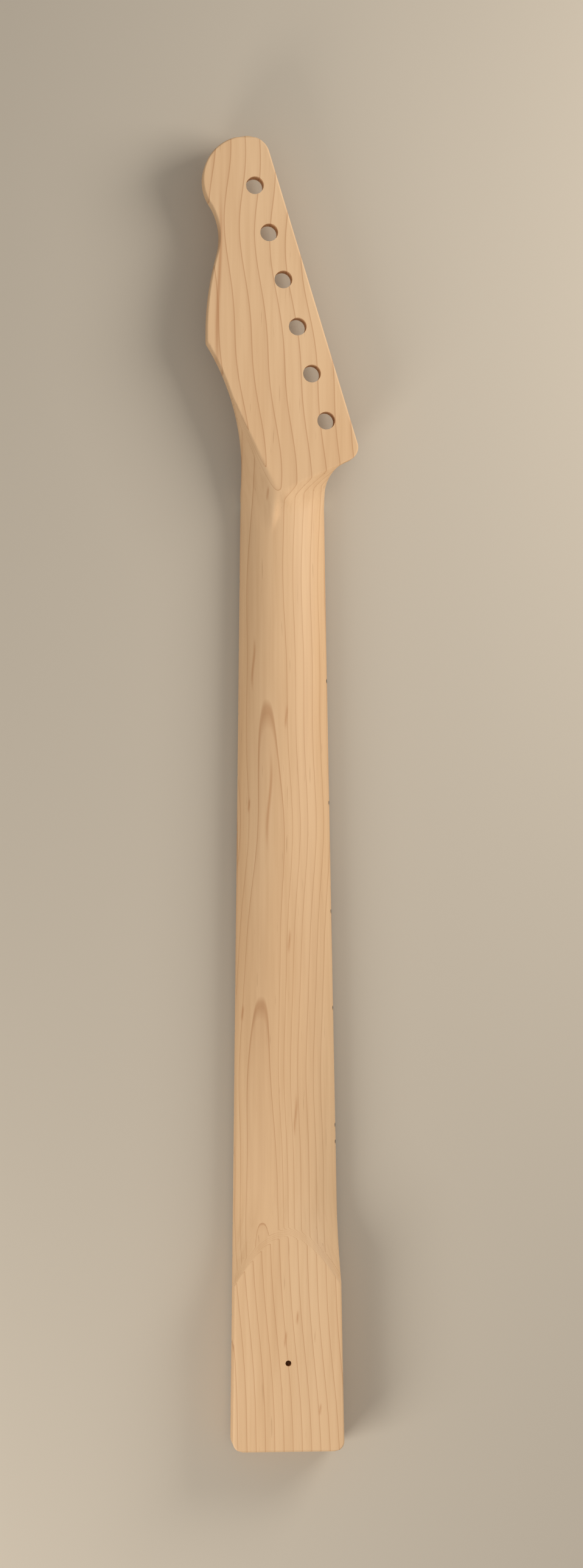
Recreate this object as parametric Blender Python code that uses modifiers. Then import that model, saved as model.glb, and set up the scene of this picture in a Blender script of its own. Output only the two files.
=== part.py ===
"""Guitar neck, bolt-on, six tuners in line.

A maple neck with its headstock, a glued maple fretboard with frets, nut and position dots, and a
bowed truss rod under the board that is tightened by a slotted nut at the heel end.

The neck lies on its frets with its back upwards. Sizes below are in neck coordinates: x across the
neck (+x is the bass side), y along it (0 at the front of the nut, +y towards the headstock), and z up
from the crown of the fretboard's playing face. The neck_datum empty then puts the whole neck on the
ground plane, with the middle of its outline over the origin.
"""
import math

import bmesh
import bpy
import numpy as np
from mathutils import Matrix, Vector

MM = 0.001

# Scale and frets
scale_length = 647.7 * MM
fret_count = 21
board_past_last_fret = 16.5 * MM
fret_crown_width = 2.1 * MM
fret_crown_height = 1.1 * MM
fret_tang_width = 0.6 * MM
fret_tang_depth = 1.5 * MM
fret_end_inset = 0.25 * MM
fret_end_slope = math.tan(math.radians(32))

# Neck blank
nut_width = 41.9 * MM
heel_width = 55.9 * MM
blank_thickness = 25.4 * MM
heel_corner_radius = 5.0 * MM
edge_round = 0.8 * MM

# Back of the shaft: a C section that springs from the sides
ridge_at_fret_1 = 21.0 * MM
ridge_at_fret_12 = 23.4 * MM
side_height = 3.0 * MM
side_height_headstock = 14.0 * MM

# Flat of the heel: an arch towards the shaft
heel_flat_length = 107.1 * MM
heel_arch_rise = 26.1 * MM
heel_arch_power = 1.77
heel_cove = 22.0 * MM

# Flat of the headstock back: two straight crests that meet in a soft tip
crest_angle_treble = math.radians(24.4)
crest_treble_y = -2.0 * MM
crest_softness = 4.0 * MM
crest_cove = 14.0 * MM
tip_softness = 7.0 * MM

# Headstock outline
headstock_thickness = 14.3 * MM
headstock_length = 184.9 * MM
tuner_line_angle = math.radians(16.7)
tuner_first_x = -14.4 * MM
tuner_first_y = 160.3 * MM
tuner_pitch = 24.5 * MM
tuner_count = 6
tuner_hole_diameter = 8.9 * MM
tuner_edge_margin = 11.8 * MM
tip_radius_bass = 10.6 * MM
tip_radius_treble = 21.5 * MM
tip_treble_x = -18.8 * MM
waist_x = -32.0 * MM
waist_radius = 31.0 * MM
belly_x = -38.7 * MM
belly_radius = 150.0 * MM
flank_radius = 118.0 * MM
flank_start_y = 20.0 * MM
bass_shoulder_angle = math.radians(24.8)
bass_shoulder_y = 18.0 * MM
bass_corner_radius = 6.8 * MM
bass_fillet_radius = 16.0 * MM

# Fretboard and nut
board_thickness = 6.0 * MM
board_radius = 184.0 * MM
board_ledge = 3.5 * MM
scoop_radius = 19.0 * MM
board_feather = 0.6 * MM
nut_thickness = 3.2 * MM
nut_slot_depth = 3.0 * MM
nut_proud = 2.0 * MM
nut_back_slope = 0.5 * MM
string_count = 6
string_spread = 35.5 * MM
string_slot_treble = 0.6 * MM
string_slot_bass = 1.3 * MM
string_slot_depth = 0.9 * MM

# Position dots
dot_frets = (3, 5, 7, 9, 15, 17, 19, 21)
octave_fret = 12
face_dot_diameter = 6.35 * MM
face_dot_depth = 1.5 * MM
octave_dot_offset = 11.0 * MM
side_dot_diameter = 2.4 * MM
side_dot_depth = 2.5 * MM
side_dot_height = 6.2 * MM
octave_side_dot_offset = 4.2 * MM

# Truss rod
rod_diameter = 4.76 * MM
rod_height_at_ends = 12.6 * MM
rod_bow = 3.6 * MM
anchor_width = 9.5 * MM
anchor_length = 6.0 * MM
anchor_middle_y = 2.0 * MM
truss_nut_diameter = 9.0 * MM
truss_nut_length = 10.5 * MM
truss_nut_recess = 1.8 * MM
truss_nut_slot_width = 1.6 * MM
truss_nut_slot_depth = 3.0 * MM
washer_thickness = 1.6 * MM
counterbore_diameter = 10.4 * MM

# Pin hole in the heel
pin_hole_diameter = 3.0 * MM
pin_hole_from_end = 44.2 * MM
pin_hole_depth = 8.0 * MM

# Clearances of parts that touch
seat_gap = 0.3 * MM
fret_gap = 0.2 * MM
dot_gap = 0.2 * MM

# Fineness of the mesh
fret_segments = 7
flank_columns = 8
round_sides = 24
small_round_sides = 16

# Values that follow from the sizes above
half_nut = 0.5 * nut_width
half_heel = 0.5 * heel_width
glue_height = board_thickness
neck_floor = glue_height + seat_gap
headstock_face = blank_thickness - headstock_thickness


def fret_y(number):
    """Place of a fret: each step shortens the string by the twelfth root of two."""
    return -scale_length * (1.0 - 2.0 ** (-number / 12.0))


heel_end = fret_y(fret_count) - board_past_last_fret
heel_arch_y = heel_end + heel_flat_length

# Headstock outline, worked out as tangent lines and arcs
edge_sin, edge_cos = math.sin(tuner_line_angle), math.cos(tuner_line_angle)
edge_x = tuner_first_x + tuner_edge_margin * edge_cos
edge_y = tuner_first_y + tuner_edge_margin * edge_sin
tip_bass_y = headstock_length - tip_radius_bass
tip_bass_x = edge_x - (tip_radius_bass + (tip_bass_y - edge_y) * edge_sin) / edge_cos
tip_bass_end = tip_bass_y + tip_radius_bass * edge_sin

tip_treble_y = headstock_length - tip_radius_treble
waist_centre_x = waist_x - waist_radius
waist_centre_y = tip_treble_y - math.sqrt(
    (tip_radius_treble + waist_radius) ** 2 - (tip_treble_x - waist_centre_x) ** 2)
tip_treble_end = tip_treble_y + (waist_centre_y - tip_treble_y) * tip_radius_treble / (
    tip_radius_treble + waist_radius)
belly_centre_x = belly_x + belly_radius
belly_centre_y = waist_centre_y - math.sqrt(
    (belly_radius + waist_radius) ** 2 - (belly_centre_x - waist_centre_x) ** 2)
waist_end = waist_centre_y + (belly_centre_y - waist_centre_y) * waist_radius / (
    waist_radius + belly_radius)

shoulder_sin, shoulder_cos = math.sin(bass_shoulder_angle), math.cos(bass_shoulder_angle)
corner_normals = np.array([[edge_cos, edge_sin], [shoulder_sin, -shoulder_cos]])
corner_levels = np.array([
    edge_x * edge_cos + edge_y * edge_sin - bass_corner_radius,
    half_nut * shoulder_sin - bass_shoulder_y * shoulder_cos - bass_corner_radius])
corner_x, corner_y = np.linalg.solve(corner_normals, corner_levels)
corner_top = corner_y + bass_corner_radius * edge_sin
corner_bottom = corner_y - bass_corner_radius * shoulder_cos
fillet_y = bass_shoulder_y - bass_fillet_radius * (1.0 - shoulder_sin) / shoulder_cos
fillet_top = fillet_y + bass_fillet_radius * shoulder_cos


def shaft_half_width(y):
    """Half width of the shaft: a straight taper from the nut to the heel, with rounded end corners."""
    half = half_nut + (half_heel - half_nut) * min(y, 0.0) / heel_end
    into_corner = heel_end + heel_corner_radius - y
    if into_corner > 0.0:
        half -= heel_corner_radius - math.sqrt(max(heel_corner_radius ** 2 - into_corner ** 2, 0.0))
    return half


def treble_edge(y):
    """Left edge of the outline: tip arc, waist arc, belly arc, then the flank arc into the shaft."""
    if y <= flank_start_y:
        return -shaft_half_width(y)
    if y >= tip_treble_end:
        return tip_treble_x - math.sqrt(max(tip_radius_treble ** 2 - (y - tip_treble_y) ** 2, 0.0))
    if y >= waist_end:
        return waist_centre_x + math.sqrt(waist_radius ** 2 - (y - waist_centre_y) ** 2)
    return belly_edge(y) if y >= belly_corner_y else flank_edge(y)


def bass_edge(y):
    """Right edge of the outline: tip arc, tuner edge, corner arc, shoulder line, fillet, shaft."""
    if y <= fillet_y:
        return shaft_half_width(y)
    if y <= fillet_top:
        return half_nut + bass_fillet_radius - math.sqrt(bass_fillet_radius ** 2 - (y - fillet_y) ** 2)
    if y <= corner_bottom:
        return half_nut + (y - bass_shoulder_y) * shoulder_cos / shoulder_sin
    if y <= corner_top:
        return corner_x + math.sqrt(bass_corner_radius ** 2 - (y - corner_y) ** 2)
    if y <= tip_bass_end:
        return edge_x + (edge_y - y) * edge_sin / edge_cos
    return tip_bass_x + math.sqrt(max(tip_radius_bass ** 2 - (y - tip_bass_y) ** 2, 0.0))


def corner_between(edge_a, edge_b, low, high):
    """The y at which two edges cross, found by halving the range."""
    for _ in range(40):
        middle = 0.5 * (low + high)
        if edge_a(middle) > edge_b(middle):
            low = middle
        else:
            high = middle
    return 0.5 * (low + high)


def flank_edge(y):
    return -half_nut - flank_radius + math.sqrt(flank_radius ** 2 - (y - flank_start_y) ** 2)


def belly_edge(y):
    return belly_centre_x - math.sqrt(belly_radius ** 2 - (y - belly_centre_y) ** 2)


belly_corner_y = corner_between(flank_edge, belly_edge, flank_start_y, waist_end)


def smooth_step(value, low, high):
    t = np.clip((value - low) / (high - low), 0.0, 1.0)
    return t * t * (3.0 - 2.0 * t)


# Crest of the headstock flat: y = smooth maximum of two straight lines over x
crest_treble_slope = -1.0 / math.tan(crest_angle_treble)
crest_bass_slope = shoulder_sin / shoulder_cos
crest_bass_y = bass_shoulder_y - crest_bass_slope * half_nut


def headstock_crest(x):
    """The crest's y and its slope at x."""
    treble = crest_treble_y + crest_treble_slope * x
    bass = crest_bass_y + crest_bass_slope * x
    half_gap = 0.5 * (treble - bass)
    reach = np.sqrt(half_gap ** 2 + crest_softness ** 2)
    slope = 0.5 * (crest_treble_slope + crest_bass_slope)
    slope = slope + half_gap / reach * 0.5 * (crest_treble_slope - crest_bass_slope)
    return 0.5 * (treble + bass) + reach, slope


def headstock_crest_ends(y):
    """The two x at which the crest has this y, for a y past its tip."""
    treble, bass = y - crest_treble_y, y - crest_bass_y
    product = crest_treble_slope * crest_bass_slope
    total = crest_treble_slope * bass + crest_bass_slope * treble
    square = total ** 2 - 4.0 * product * (treble * bass - crest_softness ** 2)
    root = math.sqrt(max(square, 0.0))
    return sorted(((total + root) / (2.0 * product), (total - root) / (2.0 * product)))


crest_samples = np.linspace(-half_nut, half_nut, 2001)
crest_heights = headstock_crest(crest_samples)[0]
crest_tip_x = crest_samples[crest_heights.argmin()]
crest_tip_y = crest_heights.min()


def heel_arch(x):
    """The heel arch's y and its slope at x: it falls from its top as a power of the distance."""
    reach = np.abs(x) / half_heel
    y = heel_arch_y - heel_arch_rise * reach ** heel_arch_power
    slope = -heel_arch_rise * heel_arch_power / half_heel * reach ** (heel_arch_power - 1.0)
    return y, slope * np.sign(x)


def ridge_height(y):
    """Thickness of the neck on its centre line, board included."""
    span = fret_y(octave_fret) - fret_y(1)
    return ridge_at_fret_1 + (ridge_at_fret_12 - ridge_at_fret_1) * (y - fret_y(1)) / span


def back_height(x, y):
    """Height of the neck's back over the playing face, for an array of x at one y.

    The C section is lifted to the blank's full thickness by two coves, one along the headstock's
    crest and one along the heel arch, and the flats are eased towards the outline.
    """
    left, right = treble_edge(y), bass_edge(y)
    side = side_height + (side_height_headstock - side_height) * smooth_step(y, -12 * MM, 24 * MM)
    across = np.clip(np.where(x < 0.0, x / left, x / right), 0.0, 1.0)
    section = side + (ridge_height(y) - side) * np.sqrt(1.0 - across ** 2)

    crest_y, crest_slope = headstock_crest(x)
    depth = np.clip((crest_y - y) / np.sqrt(1.0 + crest_slope ** 2) / crest_cove, 0.0, 1.0)
    soft = np.exp(-((x - crest_tip_x) / tip_softness) ** 2)
    lift_headstock = (1.0 - soft) * (1.0 - depth) ** 2 + soft * (1.0 - depth ** 2) ** 2

    arch_y, arch_slope = heel_arch(x)
    depth = np.clip((y - arch_y) / np.sqrt(1.0 + arch_slope ** 2) / heel_cove, 0.0, 1.0)
    soft = np.exp(-(x / tip_softness) ** 2)
    lift_heel = (1.0 - soft) * (1.0 - depth) ** 2 + soft * (1.0 - depth ** 2) ** 2

    lift = np.maximum(lift_headstock, lift_heel)
    height = section + (blank_thickness - section) * lift

    step = 0.05 * MM
    left_slope = (treble_edge(y) - treble_edge(y - step)) / step
    right_slope = (bass_edge(y) - bass_edge(y - step)) / step
    inside = np.minimum((x - left) / math.hypot(1.0, left_slope),
                        (right - x) / math.hypot(1.0, right_slope))
    inside = np.clip(np.minimum(inside, y - heel_end), 0.0, edge_round)
    eased = edge_round - np.sqrt(edge_round ** 2 - (edge_round - inside) ** 2)
    return np.minimum(height, blank_thickness - eased)


def side_x(y, height, side):
    """The x at which the back's section passes a height, on the treble (-1) or bass (1) side."""
    edge = treble_edge(y) if side < 0 else bass_edge(y)
    samples = np.linspace(edge, 0.25 * edge, 240)
    return float(np.interp(height, back_height(samples, y), samples))


ledge_end = nut_thickness + board_ledge
scoop_end = ledge_end + math.sqrt(scoop_radius ** 2 - (scoop_radius - headstock_face) ** 2)


def scoop_height(y):
    """Concave ramp from the end of the board's ledge up to the headstock's face."""
    if y >= scoop_end:
        return headstock_face
    inside = scoop_radius ** 2 - (y - scoop_end) ** 2
    return headstock_face - scoop_radius + math.sqrt(max(inside, 0.0))


def scoop_reaches(height):
    """The y at which the scoop has risen to a height."""
    return scoop_end - math.sqrt(scoop_radius ** 2 - (scoop_radius - headstock_face + height) ** 2)


board_end = scoop_reaches(glue_height - board_feather)
neck_scoop_start = scoop_reaches(neck_floor)


counterbore_depth = truss_nut_recess + truss_nut_length + washer_thickness + 2 * seat_gap


def rod_height(y):
    """Height of the truss rod's axis: straight at its ends and bowed towards the back between."""
    span_start, span_end = anchor_middle_y, heel_end + counterbore_depth
    along = np.clip((y - span_start) / (span_end - span_start), 0.0, 1.0)
    return rod_height_at_ends + rod_bow * math.sin(math.pi * along) ** 2


# Scene, collections and materials
for existing in list(bpy.data.objects):
    bpy.data.objects.remove(existing, do_unlink=True)

parts = bpy.data.collections.new("guitar_neck")
cutters = bpy.data.collections.new("cutters")
bpy.context.scene.collection.children.link(parts)
bpy.context.scene.collection.children.link(cutters)

datum = bpy.data.objects.new("neck_datum", None)
datum.empty_display_type = "PLAIN_AXES"
parts.objects.link(datum)


def make_material(name, colour, roughness, metallic=0.0):
    material = bpy.data.materials.new(name)
    material.use_nodes = True
    shader = material.node_tree.nodes["Principled BSDF"]
    shader.inputs["Base Color"].default_value = (*colour, 1.0)
    shader.inputs["Roughness"].default_value = roughness
    shader.inputs["Metallic"].default_value = metallic
    return material


maple = make_material("bare_maple", (0.72, 0.45, 0.24), 0.55)
board_maple = make_material("board_maple", (0.74, 0.48, 0.27), 0.5)
fret_metal = make_material("nickel_silver", (0.66, 0.65, 0.6), 0.25, 1.0)
bone = make_material("bone", (0.83, 0.79, 0.68), 0.4)
black = make_material("black_inlay", (0.02, 0.02, 0.02), 0.4)
steel = make_material("steel", (0.5, 0.5, 0.5), 0.35, 1.0)
brass = make_material("brass", (0.72, 0.53, 0.25), 0.35, 1.0)


def add_part(obj, material):
    """A finished piece: in the parts collection, with its material, carried by the datum."""
    obj.data.materials.clear()
    obj.data.materials.append(material)
    for holder in list(obj.users_collection):
        holder.objects.unlink(obj)
    parts.objects.link(obj)
    obj.parent = datum
    return obj


def add_cutter(obj):
    for holder in list(obj.users_collection):
        holder.objects.unlink(obj)
    cutters.objects.link(obj)
    obj.hide_render = True
    obj.display_type = "WIRE"
    obj.parent = datum
    return obj


def cut(target, cutter):
    modifier = target.modifiers.new(cutter.name, "BOOLEAN")
    modifier.operation = "DIFFERENCE"
    modifier.solver = "EXACT"
    modifier.object = cutter


def shade(obj, angle=32.0):
    obj.data.shade_smooth()
    obj.data.set_sharp_from_angle(angle=math.radians(angle))


def loft_mesh(mesh, rings):
    """Skin between closed rings of the same number of points, with both ends capped."""
    rings = np.asarray(rings)
    count, size = rings.shape[:2]
    faces = [tuple(range(size))[::-1], tuple((count - 1) * size + i for i in range(size))]
    for ring in range(count - 1):
        for i in range(size):
            a, b = ring * size + i, ring * size + (i + 1) % size
            faces.append((a, b, b + size, a + size))
    bm = bmesh.new()
    vertices = [bm.verts.new(point) for point in rings.reshape(-1, 3)]
    for face in faces:
        bm.faces.new([vertices[i] for i in face])
    bmesh.ops.recalc_face_normals(bm, faces=bm.faces)
    made = bpy.data.meshes.new("loft")
    bm.to_mesh(made)
    bm.free()
    if mesh is None:
        return made
    joined = bmesh.new()
    joined.from_mesh(mesh)
    joined.from_mesh(made)
    joined.to_mesh(mesh)
    joined.free()
    bpy.data.meshes.remove(made)
    return mesh


def loft(name, rings):
    obj = bpy.data.objects.new(name, loft_mesh(None, rings))
    bpy.context.scene.collection.objects.link(obj)
    return obj


def cylinders(name, placements, radius, sides):
    """One mesh with a cylinder for each placement: its middle, its axis and its length."""
    bm = bmesh.new()
    for middle, axis, length in placements:
        turn = Vector(axis).to_track_quat("Z", "Y").to_matrix().to_4x4()
        bmesh.ops.create_cone(bm, cap_ends=True, segments=sides, radius1=radius, radius2=radius,
                              depth=length, matrix=Matrix.Translation(middle) @ turn)
    mesh = bpy.data.meshes.new(name)
    bm.to_mesh(mesh)
    bm.free()
    obj = bpy.data.objects.new(name, mesh)
    bpy.context.scene.collection.objects.link(obj)
    return obj


def placed_cylinder(name, middle, axis, length, radius, sides):
    """A cylinder whose object stands at its own middle, turned to its axis."""
    obj = cylinders(name, [((0, 0, 0), (0, 0, 1), length)], radius, sides)
    obj.location = middle
    obj.rotation_euler = Vector(axis).to_track_quat("Z", "Y").to_euler()
    return obj


def boxes(name, ranges):
    """One mesh with a box for each pair of low and high corners."""
    bm = bmesh.new()
    for low, high in ranges:
        low, high = Vector(low), Vector(high)
        size = high - low
        bmesh.ops.create_cube(bm, size=1.0, matrix=Matrix.Translation(0.5 * (low + high))
                              @ Matrix.Diagonal((*size, 1.0)))
    mesh = bpy.data.meshes.new(name)
    bm.to_mesh(mesh)
    bm.free()
    obj = bpy.data.objects.new(name, mesh)
    bpy.context.scene.collection.objects.link(obj)
    return obj


def bevel(obj, width, segments=2):
    modifier = obj.modifiers.new("eased_edges", "BEVEL")
    modifier.width = width
    modifier.segments = segments
    modifier.limit_method = "ANGLE"
    modifier.angle_limit = math.radians(40)


def steps(start, end, spacing):
    """Evenly spread values from start up to but not including end."""
    count = max(1, round(abs(end - start) / spacing))
    return [start + (end - start) * i / count for i in range(count)]


# Neck: shaft, heel and headstock in one piece of maple, a loft of cross-sections
def neck_stations():
    """The y of each cross-section, close together where the back changes fast."""
    corner = [heel_end + heel_corner_radius * (1.0 - math.cos(a))
              for a in np.linspace(0.0, 0.5 * math.pi, 6)]
    heel_start = heel_arch_y - heel_arch_rise
    tip = [headstock_length - tip_radius_bass * (1.0 - math.cos(a))
           for a in np.linspace(0.5 * math.pi, 0.0, 10)]
    ys = corner[:-1]
    ys += steps(corner[-1], heel_start - 3 * MM, 25 * MM)
    ys += steps(heel_start - 3 * MM, heel_arch_y + 2 * MM, 3 * MM)
    ys += steps(heel_arch_y + 2 * MM, heel_arch_y + heel_cove + 3 * MM, 4 * MM)
    ys += steps(heel_arch_y + heel_cove + 3 * MM, -18 * MM, 30 * MM)
    ys += steps(-18 * MM, crest_tip_y - 4 * MM, 3.5 * MM)
    ys += steps(crest_tip_y - 4 * MM, corner_bottom, 1.5 * MM)
    ys += [corner_y - bass_corner_radius * math.cos(a)
           for a in np.linspace(bass_shoulder_angle, 0.5 * math.pi + tuner_line_angle, 7)[:-1]]
    ys += steps(corner_top, belly_corner_y - 1 * MM, 4.5 * MM)
    ys += [belly_corner_y - 1 * MM, belly_corner_y, belly_corner_y + 1 * MM]
    ys += steps(belly_corner_y + 6 * MM, waist_end, 9 * MM)
    ys += steps(waist_end, tip_treble_end, 3.5 * MM)
    ys += steps(tip_treble_end, tip_bass_y, 3.5 * MM)
    ys += tip
    ys += [neck_scoop_start]
    ys = sorted(ys)
    return [y for y, last in zip(ys, [heel_end - 1.0] + ys) if y - last > 0.05 * MM]


def neck_underside(y):
    """Height of the wood's underside: the glue face, then the scoop, then the headstock's face."""
    return neck_floor if y < neck_scoop_start else scoop_height(y)


def crest_columns(y):
    """Where the flats begin on either side of a cross-section."""
    left, right = treble_edge(y), bass_edge(y)
    ease = min(edge_round * 1.05, 0.3 * (right - left))
    ridge = 0.12 * shaft_half_width(min(y, 0.0))
    if y < 0.5 * (heel_arch_y + crest_tip_y):
        drop = max(heel_arch_y - y, 0.0) / heel_arch_rise
        reach = max(half_heel * drop ** (1.0 / heel_arch_power), ridge)
        return max(-reach, left + ease), min(reach, right - ease)
    blend = float(smooth_step(y, crest_tip_y - 25 * MM, crest_tip_y))
    middle = crest_tip_x * blend
    low, high = middle - ridge, middle + ridge
    if y > crest_tip_y:
        ends = headstock_crest_ends(y)
        low, high = min(low, ends[0]), max(high, ends[1])
    return max(low, left + ease), min(high, right - ease)


def neck_ring(y):
    """One cross-section, from the treble side over the back to the bass side."""
    low, high = crest_columns(y)
    floor = neck_underside(y)
    turns = np.linspace(0.0, math.radians(83), flank_columns + 1)
    fractions = (1.0 - np.cos(turns)) / (1.0 - math.cos(turns[-1]))
    xs = []
    for side, crest in ((-1, low), (1, high)):
        foot = side_x(y, floor, side)
        spring = side_x(y, floor + 1.2 * MM, side)
        xs.append((foot, spring + (crest - spring) * fractions))
    (foot_left, left), (foot_right, right) = xs
    across = np.concatenate([left, [0.5 * (low + high)], right[::-1]])
    heights = back_height(across, y)
    ring = [(foot_left, y, floor)]
    ring += [(x, y, z) for x, z in zip(across, heights)]
    ring += [(foot_right, y, floor)]
    return ring


neck = loft("neck", [neck_ring(y) for y in neck_stations()])


# Fretboard: the same taper, a radiused face, and a scooped end behind the nut
def face_height(x, depth=0.0):
    """Height of the radiused face at x, or of a surface that lies this far outside it."""
    outer = board_radius + depth
    return board_radius - math.sqrt(outer ** 2 - x ** 2)


def board_ring(y):
    left, right = -shaft_half_width(y), bass_edge(y)
    floor = scoop_height(y) if y > ledge_end else 0.0
    face = [(x, y, max(face_height(x), floor)) for x in np.linspace(left, right, fret_segments + 1)]
    side = max(min(side_height, glue_height), 0.5 * (face[0][2] + glue_height))
    return [(side_x(y, glue_height, -1), y, glue_height), (left, y, side), *face,
            (right, y, side), (side_x(y, glue_height, 1), y, glue_height)]


def board_stations():
    ys = [heel_end + heel_corner_radius * (1.0 - math.cos(a))
          for a in np.linspace(0.0, 0.5 * math.pi, 6)]
    ys += [heel_arch_y - heel_arch_rise * (1 - s) for s in (0.0, 0.35, 0.7, 1.0)]
    ys += list(np.linspace(heel_arch_y + heel_cove, 0.0, 6))
    ys += [ledge_end]
    ys += list(np.linspace(ledge_end + 0.5 * MM, board_end, 5))
    return sorted(ys)


fretboard = loft("fretboard", [board_ring(y) for y in board_stations()])


# Frets: a crown on a tang, bent to the board's radius, with sloped ends
def arc_ring(y, half_width, share, profile, slope):
    """Points of a profile of (along, outward) pairs at one share of the way across the board."""
    ring = []
    for along, outward in profile:
        x = share * (half_width - max(outward, 0.0) * slope)
        ring.append((x, y + along, face_height(x, outward)))
    return ring


def arc_sweep(mesh, y, half_width, profile, slope=0.0):
    shares = np.linspace(-1.0, 1.0, fret_segments + 1)
    return loft_mesh(mesh, [arc_ring(y, half_width, share, profile, slope) for share in shares])


half_crown, half_tang = 0.5 * fret_crown_width, 0.5 * fret_tang_width
crown_rise = fret_crown_height - fret_gap
fret_profile = [(half_crown * along, fret_gap + crown_rise * up) for along, up in
                ((-1.0, 0.0), (-0.82, 0.58), (-0.36, 1.0), (0.36, 1.0), (0.82, 0.58), (1.0, 0.0))]
fret_profile += [(half_tang, fret_gap), (half_tang, -fret_tang_depth),
                 (-half_tang, -fret_tang_depth), (-half_tang, fret_gap)]
half_slot = half_tang + fret_gap
slot_floor = -fret_tang_depth - fret_gap
slot_profile = [(-half_slot, 1 * MM), (half_slot, 1 * MM), (half_slot, slot_floor),
                (-half_slot, slot_floor)]

slots = bpy.data.meshes.new("fret_slots")
for number in range(1, fret_count + 1):
    y = fret_y(number)
    half = shaft_half_width(y)
    mesh = arc_sweep(None, y, half - fret_end_inset, fret_profile, fret_end_slope)
    fret = bpy.data.objects.new(f"fret_{number:02d}", mesh)
    shade(fret, 50)
    add_part(fret, fret_metal)
    arc_sweep(slots, y, half + 2 * MM, slot_profile)

cut(fretboard, add_cutter(bpy.data.objects.new("fret_slots", slots)))


# Nut: a bone bar in a slot across the board, with six string grooves
nut_half = half_nut - 0.1 * MM
nut_seat = nut_slot_depth - seat_gap
nut_rings = []
for x in np.linspace(-nut_half, nut_half, fret_segments + 1):
    top = face_height(x) - nut_proud
    nut_rings.append([(x, 0.0, nut_seat), (x, nut_thickness, nut_seat),
                      (x, nut_thickness, top + nut_back_slope), (x, 0.0, top)])
nut = loft("nut", nut_rings)
cut(fretboard, add_cutter(boxes("nut_slot", [
    ((-half_nut - 2 * MM, -seat_gap, -2 * MM),
     (half_nut + 2 * MM, nut_thickness + seat_gap, nut_slot_depth))])))

grooves = []
for x in np.linspace(-0.5 * string_spread, 0.5 * string_spread, string_count):
    width = string_slot_treble + (string_slot_bass - string_slot_treble) * (x / string_spread + 0.5)
    deep = face_height(x) - nut_proud + string_slot_depth
    grooves.append(((x - 0.5 * width, -2 * MM, -6 * MM), (x + 0.5 * width, 6 * MM, deep)))
cut(nut, add_cutter(boxes("string_grooves", grooves)))
shade(nut)
add_part(nut, bone)


# Position dots in the playing face and in the bass side of the neck
def between_frets(number):
    return 0.5 * (fret_y(number) + fret_y(number - 1))


def face_dot(name, x, y):
    """A disc let in square to the radiused face; returns its pocket for the cutter."""
    lean = math.asin(x / board_radius)
    outward = Vector((math.sin(lean), 0.0, -math.cos(lean)))
    surface = Vector((0.0, y, board_radius)) + board_radius * outward
    dot = placed_cylinder(name, surface - 0.5 * face_dot_depth * outward, outward, face_dot_depth,
                          0.5 * face_dot_diameter, round_sides)
    shade(dot)
    add_part(dot, black)
    deep = face_dot_depth + dot_gap
    return surface + 0.5 * (1 * MM - deep) * outward, outward, deep + 1 * MM


def side_dot(name, y):
    """A short rod let in square to the curved bass side, over the glue line."""
    x = side_x(y, side_dot_height, 1)
    rise = 0.2 * MM
    lean = (side_x(y, side_dot_height + rise, 1) - side_x(y, side_dot_height - rise, 1)) / (2 * rise)
    outward = Vector((1.0, 0.0, -lean)).normalized()
    surface = Vector((x, y, side_dot_height))
    dot = placed_cylinder(name, surface - 0.5 * side_dot_depth * outward, outward, side_dot_depth,
                          0.5 * side_dot_diameter, small_round_sides)
    shade(dot)
    add_part(dot, black)
    deep = side_dot_depth + dot_gap
    return surface + 0.5 * (1 * MM - deep) * outward, outward, deep + 1 * MM


face_pockets, side_pockets = [], []
for number in dot_frets:
    face_pockets.append(face_dot(f"face_dot_{number:02d}", 0.0, between_frets(number)))
    side_pockets.append(side_dot(f"side_dot_{number:02d}", between_frets(number)))
octave_y = between_frets(octave_fret)
for side, word in ((-1, "treble"), (1, "bass")):
    face_pockets.append(face_dot(f"face_dot_{octave_fret}_{word}", side * octave_dot_offset, octave_y))
for step, word in ((1, "a"), (-1, "b")):
    y = octave_y + step * octave_side_dot_offset
    side_pockets.append(side_dot(f"side_dot_{octave_fret}_{word}", y))

cut(fretboard, add_cutter(cylinders("face_dot_pockets", face_pockets,
                                    0.5 * face_dot_diameter + dot_gap, round_sides)))
side_dot_cutter = add_cutter(cylinders("side_dot_pockets", side_pockets,
                                       0.5 * side_dot_diameter + dot_gap, small_round_sides))
cut(fretboard, side_dot_cutter)
cut(neck, side_dot_cutter)
shade(fretboard)
add_part(fretboard, board_maple)


# Tuner holes through the headstock and the blind pin hole in the heel
tuner_holes = []
for number in range(tuner_count):
    x = tuner_first_x + number * tuner_pitch * edge_sin
    y = tuner_first_y - number * tuner_pitch * edge_cos
    middle = (x, y, headstock_face + 0.5 * headstock_thickness)
    tuner_holes.append((middle, (0, 0, 1), headstock_thickness + 4 * MM))
cut(neck, add_cutter(cylinders("tuner_holes", tuner_holes, 0.5 * tuner_hole_diameter, round_sides)))

pin_middle = (0.0, heel_end + pin_hole_from_end, blank_thickness + 0.5 * (2 * MM - pin_hole_depth))
cut(neck, add_cutter(cylinders("pin_hole", [(pin_middle, (0, 0, 1), pin_hole_depth + 2 * MM)],
                               0.5 * pin_hole_diameter, small_round_sides)))


# Truss rod: a bowed steel rod in a routed channel, with an anchor, a washer and a slotted nut
rod_radius = 0.5 * rod_diameter
channel_half = rod_radius + seat_gap
anchor_near = anchor_middle_y - 0.5 * anchor_length
anchor_far = anchor_middle_y + 0.5 * anchor_length
counterbore_floor = heel_end + counterbore_depth
truss_nut_near = heel_end + truss_nut_recess
slot_bottom = truss_nut_near + truss_nut_slot_depth
rod_start = anchor_far + 0.8 * MM
rod_end = slot_bottom + 0.8 * MM


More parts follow.
